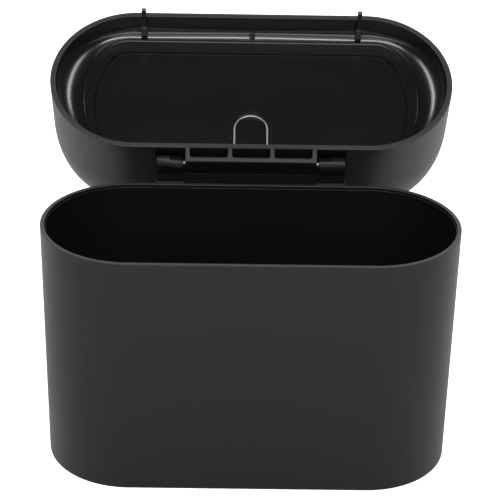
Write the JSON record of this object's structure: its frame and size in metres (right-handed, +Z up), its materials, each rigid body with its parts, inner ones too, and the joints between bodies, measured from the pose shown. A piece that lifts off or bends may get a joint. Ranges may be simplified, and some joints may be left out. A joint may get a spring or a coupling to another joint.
{
  "type": "dog waste bin",
  "caption": "Small free-standing obround bin with a deep hinged lid that opens back to a stop; the lid has a lined ceiling with a covered compartment and a wire pull.",
  "frame": {"origin": "middle of the flat underside of the bin", "axes": "+Z up, +X to the right seen from the front and along the width, the hinge is at the back (+Y)"},
  "size_m": [0.24, 0.2159, 0.2272],
  "materials": {
    "body_plastic": "fine moulded texture, matte black",
    "lid_plastic": "fine moulded texture, matte black",
    "liner_plastic": "smoother satin black",
    "steel": "drawn wire"
  },
  "bodies": {
    "bin": {"bin_body": "body_plastic", "left_hinge_bracket": "body_plastic", "right_hinge_bracket": "body_plastic", "hinge_pin": "steel"},
    "lid": {"lid_shell": "lid_plastic", "lid_liner": "liner_plastic", "compartment_cover": "liner_plastic", "left_finger": "liner_plastic", "right_finger": "liner_plastic"},
    "bail": {"pull_bail": "steel"}
  },
  "joints": [
    {"name": "lid_hinge", "type": "hinge", "parent": "bin", "child": "lid", "pos_m": [0, 0.05357, 0.16082], "axis": [1, 0, 0], "range_deg": [0, 152.3]},
    {"name": "bail_pivot", "type": "hinge", "parent": "lid", "child": "bail", "pos_m": [0, 0.0724, 0.16339], "axis": [1, 0, 0], "range_deg": [0, 95]}
  ]
}
